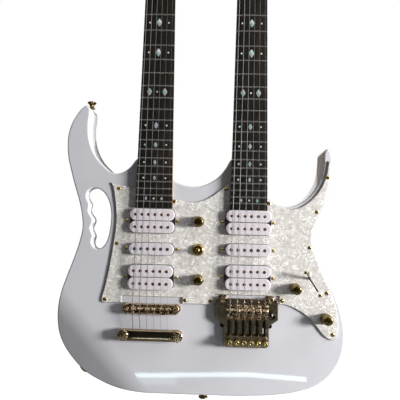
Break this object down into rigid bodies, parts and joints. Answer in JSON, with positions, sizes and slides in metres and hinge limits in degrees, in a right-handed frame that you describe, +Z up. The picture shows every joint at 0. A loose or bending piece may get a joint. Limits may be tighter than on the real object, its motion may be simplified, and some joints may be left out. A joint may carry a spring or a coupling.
{
  "type": "double-neck electric guitar",
  "caption": "Solid-body double-neck electric guitar with a handle slot, pearl pickguard, gold hardware, fixed and tremolo bridges.",
  "frame": {"origin": "centre of the end strap button's outer face, on the middle of the body's thickness", "axes": "+X to the right as the audience sees the front, +Z up the necks towards the headstocks, -Y out of the front face"},
  "size_m": [0.439, 0.085, 0.9747],
  "materials": {
    "white_lacquer": "high gloss white lacquer over wood",
    "pearl": "polished white and grey mother-of-pearl sheet",
    "white_plastic": "satin white moulding",
    "black_plastic": "satin black",
    "maple": "oiled maple",
    "rosewood": "dark oiled rosewood with nickel frets",
    "gold": "polished gold plate",
    "steel": "bright drawn wire"
  },
  "bodies": {
    "guitar": {"body": "white_lacquer", "pickguard": "pearl", "neck_left": "maple", "neck_right": "maple", "fretboard_left": "rosewood", "fretboard_right": "rosewood", "strings_left": "steel", "strings_right": "steel", "locking_nut": "gold", "fixed_bridge": "gold", "stop_tailpiece": "gold", "spring_claw": "steel", "tremolo_cover": "white_plastic", "pickup_left_neck": "white_plastic", "pickup_left_middle": "white_plastic", "pickup_left_bridge": "white_plastic", "pickup_right_neck": "white_plastic", "pickup_right_middle": "white_plastic", "pickup_right_bridge": "white_plastic", "toggle_switch": "gold", "end_strap_button": "gold", "horn_strap_button": "gold", "output_jack": "gold"},
    "tremolo": {"tremolo_plate": "gold"},
    "fine_tuner_1": {"fine_tuner_1": "gold"},
    "fine_tuner_2": {"fine_tuner_2": "gold"},
    "fine_tuner_3": {"fine_tuner_3": "gold"},
    "fine_tuner_4": {"fine_tuner_4": "gold"},
    "fine_tuner_5": {"fine_tuner_5": "gold"},
    "fine_tuner_6": {"fine_tuner_6": "gold"},
    "knob_left_volume": {"knob_left_volume": "gold"},
    "knob_left_tone": {"knob_left_tone": "gold"},
    "knob_right_volume": {"knob_right_volume": "gold"},
    "knob_right_tone": {"knob_right_tone": "gold"},
    "toggle_lever": {"toggle_lever": "black_plastic"},
    "pickup_switch_lever": {"pickup_switch_lever": "white_plastic"},
    "tuner_post_left_1": {"tuner_post_left_1": "gold"},
    "tuner_key_left_1": {"tuner_key_left_1": "gold"},
    "tuner_post_left_2": {"tuner_post_left_2": "gold"},
    "tuner_key_left_2": {"tuner_key_left_2": "gold"},
    "tuner_post_left_3": {"tuner_post_left_3": "gold"},
    "tuner_key_left_3": {"tuner_key_left_3": "gold"},
    "tuner_post_left_4": {"tuner_post_left_4": "gold"},
    "tuner_key_left_4": {"tuner_key_left_4": "gold"},
    "tuner_post_left_5": {"tuner_post_left_5": "gold"},
    "tuner_key_left_5": {"tuner_key_left_5": "gold"},
    "tuner_post_left_6": {"tuner_post_left_6": "gold"},
    "tuner_key_left_6": {"tuner_key_left_6": "gold"},
    "tuner_post_right_1": {"tuner_post_right_1": "gold"},
    "tuner_key_right_1": {"tuner_key_right_1": "gold"},
    "tuner_post_right_2": {"tuner_post_right_2": "gold"},
    "tuner_key_right_2": {"tuner_key_right_2": "gold"},
    "tuner_post_right_3": {"tuner_post_right_3": "gold"},
    "tuner_key_right_3": {"tuner_key_right_3": "gold"},
    "tuner_post_right_4": {"tuner_post_right_4": "gold"},
    "tuner_key_right_4": {"tuner_key_right_4": "gold"},
    "tuner_post_right_5": {"tuner_post_right_5": "gold"},
    "tuner_key_right_5": {"tuner_key_right_5": "gold"},
    "tuner_post_right_6": {"tuner_post_right_6": "gold"},
    "tuner_key_right_6": {"tuner_key_right_6": "gold"}
  },
  "joints": [
    {"name": "tremolo_rock", "type": "hinge", "parent": "guitar", "child": "tremolo", "pos_m": [0.0624, -0.0265, 0.152], "axis": [1, 0, 0], "range_deg": [-25, 3.5], "stiffness_Nm_per_rad": 12, "deforming": ["strings_right", "spring_claw"]},
    {"name": "fine_tuner_1_turn", "type": "hinge", "parent": "tremolo", "child": "fine_tuner_1", "pos_m": [0.0372, -0.0364, 0.0956], "axis": [0, -1, 0], "range_deg": [-360, 360]},
    {"name": "fine_tuner_2_turn", "type": "hinge", "parent": "tremolo", "child": "fine_tuner_2", "pos_m": [0.04768, -0.0364, 0.0956], "axis": [0, -1, 0], "range_deg": [-360, 360]},
    {"name": "fine_tuner_3_turn", "type": "hinge", "parent": "tremolo", "child": "fine_tuner_3", "pos_m": [0.05816, -0.0364, 0.0956], "axis": [0, -1, 0], "range_deg": [-360, 360]},
    {"name": "fine_tuner_4_turn", "type": "hinge", "parent": "tremolo", "child": "fine_tuner_4", "pos_m": [0.06864, -0.0364, 0.0956], "axis": [0, -1, 0], "range_deg": [-360, 360]},
    {"name": "fine_tuner_5_turn", "type": "hinge", "parent": "tremolo", "child": "fine_tuner_5", "pos_m": [0.07912, -0.0364, 0.0956], "axis": [0, -1, 0], "range_deg": [-360, 360]},
    {"name": "fine_tuner_6_turn", "type": "hinge", "parent": "tremolo", "child": "fine_tuner_6", "pos_m": [0.0896, -0.0364, 0.0956], "axis": [0, -1, 0], "range_deg": [-360, 360]},
    {"name": "knob_left_volume_turn", "type": "hinge", "parent": "guitar", "child": "knob_left_volume", "pos_m": [-0.0124, -0.0243, 0.2715], "axis": [0, 1, 0], "range_deg": [-150, 150]},
    {"name": "knob_left_tone_turn", "type": "hinge", "parent": "guitar", "child": "knob_left_tone", "pos_m": [-0.0112, -0.0243, 0.1835], "axis": [0, 1, 0], "range_deg": [-150, 150]},
    {"name": "knob_right_volume_turn", "type": "hinge", "parent": "guitar", "child": "knob_right_volume", "pos_m": [0.1352, -0.0243, 0.1742], "axis": [0, 1, 0], "range_deg": [-150, 150]},
    {"name": "knob_right_tone_turn", "type": "hinge", "parent": "guitar", "child": "knob_right_tone", "pos_m": [0.181, -0.0243, 0.131], "axis": [0, 1, 0], "range_deg": [-150, 150]},
    {"name": "toggle_tilt", "type": "hinge", "parent": "guitar", "child": "toggle_lever", "pos_m": [-0.0124, -0.0183, 0.2286], "axis": [0, 0, 1], "range_deg": [-12, 12]},
    {"name": "pickup_switch_sweep", "type": "hinge", "parent": "guitar", "child": "pickup_switch_lever", "pos_m": [0.1623, -0.0083, 0.1814], "axis": [0.8434, 0, 0.5373], "range_deg": [0, 60]},
    {"name": "tuner_key_left_1_turn", "type": "hinge", "parent": "guitar", "child": "tuner_key_left_1", "pos_m": [-0.09995, -0.00169, 0.8073], "axis": [1, 0, 0], "continuous": true},
    {"name": "tuner_post_left_1_turn", "type": "hinge", "parent": "guitar", "child": "tuner_post_left_1", "pos_m": [-0.09995, -0.01818, 0.81884], "axis": [0, -0.9703, 0.2419], "continuous": true},
    {"name": "tuner_key_left_2_turn", "type": "hinge", "parent": "guitar", "child": "tuner_key_left_2", "pos_m": [-0.09285, 0.0046, 0.83253], "axis": [1, 0, 0], "continuous": true},
    {"name": "tuner_post_left_2_turn", "type": "hinge", "parent": "guitar", "child": "tuner_post_left_2", "pos_m": [-0.09285, -0.01189, 0.84407], "axis": [0, -0.9703, 0.2419], "continuous": true},
    {"name": "tuner_key_left_3_turn", "type": "hinge", "parent": "guitar", "child": "tuner_key_left_3", "pos_m": [-0.08575, 0.0109, 0.85776], "axis": [1, 0, 0], "continuous": true},
    {"name": "tuner_post_left_3_turn", "type": "hinge", "parent": "guitar", "child": "tuner_post_left_3", "pos_m": [-0.08575, -0.0056, 0.86929], "axis": [0, -0.9703, 0.2419], "continuous": true},
    {"name": "tuner_key_left_4_turn", "type": "hinge", "parent": "guitar", "child": "tuner_key_left_4", "pos_m": [-0.07865, 0.01718, 0.88299], "axis": [1, 0, 0], "continuous": true},
    {"name": "tuner_post_left_4_turn", "type": "hinge", "parent": "guitar", "child": "tuner_post_left_4", "pos_m": [-0.07865, 0.00069, 0.89452], "axis": [0, -0.9703, 0.2419], "continuous": true},
    {"name": "tuner_key_left_5_turn", "type": "hinge", "parent": "guitar", "child": "tuner_key_left_5", "pos_m": [-0.07155, 0.02347, 0.90821], "axis": [1, 0, 0], "continuous": true},
    {"name": "tuner_post_left_5_turn", "type": "hinge", "parent": "guitar", "child": "tuner_post_left_5", "pos_m": [-0.07155, 0.00698, 0.91975], "axis": [0, -0.9703, 0.2419], "continuous": true},
    {"name": "tuner_key_left_6_turn", "type": "hinge", "parent": "guitar", "child": "tuner_key_left_6", "pos_m": [-0.06445, 0.02976, 0.93344], "axis": [1, 0, 0], "continuous": true},
    {"name": "tuner_post_left_6_turn", "type": "hinge", "parent": "guitar", "child": "tuner_post_left_6", "pos_m": [-0.06445, 0.01327, 0.94498], "axis": [0, -0.9703, 0.2419], "continuous": true},
    {"name": "tuner_key_right_1_turn", "type": "hinge", "parent": "guitar", "child": "tuner_key_right_1", "pos_m": [0.04565, -0.00169, 0.8073], "axis": [1, 0, 0], "continuous": true},
    {"name": "tuner_post_right_1_turn", "type": "hinge", "parent": "guitar", "child": "tuner_post_right_1", "pos_m": [0.04565, -0.01818, 0.81884], "axis": [0, -0.9703, 0.2419], "continuous": true},
    {"name": "tuner_key_right_2_turn", "type": "hinge", "parent": "guitar", "child": "tuner_key_right_2", "pos_m": [0.05275, 0.0046, 0.83253], "axis": [1, 0, 0], "continuous": true},
    {"name": "tuner_post_right_2_turn", "type": "hinge", "parent": "guitar", "child": "tuner_post_right_2", "pos_m": [0.05275, -0.01189, 0.84407], "axis": [0, -0.9703, 0.2419], "continuous": true},
    {"name": "tuner_key_right_3_turn", "type": "hinge", "parent": "guitar", "child": "tuner_key_right_3", "pos_m": [0.05985, 0.0109, 0.85776], "axis": [1, 0, 0], "continuous": true},
    {"name": "tuner_post_right_3_turn", "type": "hinge", "parent": "guitar", "child": "tuner_post_right_3", "pos_m": [0.05985, -0.0056, 0.86929], "axis": [0, -0.9703, 0.2419], "continuous": true},
    {"name": "tuner_key_right_4_turn", "type": "hinge", "parent": "guitar", "child": "tuner_key_right_4", "pos_m": [0.06695, 0.01718, 0.88299], "axis": [1, 0, 0], "continuous": true},
    {"name": "tuner_post_right_4_turn", "type": "hinge", "parent": "guitar", "child": "tuner_post_right_4", "pos_m": [0.06695, 0.00069, 0.89452], "axis": [0, -0.9703, 0.2419], "continuous": true},
    {"name": "tuner_key_right_5_turn", "type": "hinge", "parent": "guitar", "child": "tuner_key_right_5", "pos_m": [0.07405, 0.02347, 0.90821], "axis": [1, 0, 0], "continuous": true},
    {"name": "tuner_post_right_5_turn", "type": "hinge", "parent": "guitar", "child": "tuner_post_right_5", "pos_m": [0.07405, 0.00698, 0.91975], "axis": [0, -0.9703, 0.2419], "continuous": true},
    {"name": "tuner_key_right_6_turn", "type": "hinge", "parent": "guitar", "child": "tuner_key_right_6", "pos_m": [0.08115, 0.02976, 0.93344], "axis": [1, 0, 0], "continuous": true},
    {"name": "tuner_post_right_6_turn", "type": "hinge", "parent": "guitar", "child": "tuner_post_right_6", "pos_m": [0.08115, 0.01327, 0.94498], "axis": [0, -0.9703, 0.2419], "continuous": true}
  ],
  "couplings": [
    {"joint": "tuner_post_left_1_turn", "follows": "tuner_key_left_1_turn", "ratio": 0.0625},
    {"joint": "tuner_post_left_2_turn", "follows": "tuner_key_left_2_turn", "ratio": 0.0625},
    {"joint": "tuner_post_left_3_turn", "follows": "tuner_key_left_3_turn", "ratio": 0.0625},
    {"joint": "tuner_post_left_4_turn", "follows": "tuner_key_left_4_turn", "ratio": 0.0625},
    {"joint": "tuner_post_left_5_turn", "follows": "tuner_key_left_5_turn", "ratio": 0.0625},
    {"joint": "tuner_post_left_6_turn", "follows": "tuner_key_left_6_turn", "ratio": 0.0625},
    {"joint": "tuner_post_right_1_turn", "follows": "tuner_key_right_1_turn", "ratio": 0.0625},
    {"joint": "tuner_post_right_2_turn", "follows": "tuner_key_right_2_turn", "ratio": 0.0625},
    {"joint": "tuner_post_right_3_turn", "follows": "tuner_key_right_3_turn", "ratio": 0.0625},
    {"joint": "tuner_post_right_4_turn", "follows": "tuner_key_right_4_turn", "ratio": 0.0625},
    {"joint": "tuner_post_right_5_turn", "follows": "tuner_key_right_5_turn", "ratio": 0.0625},
    {"joint": "tuner_post_right_6_turn", "follows": "tuner_key_right_6_turn", "ratio": 0.0625}
  ]
}
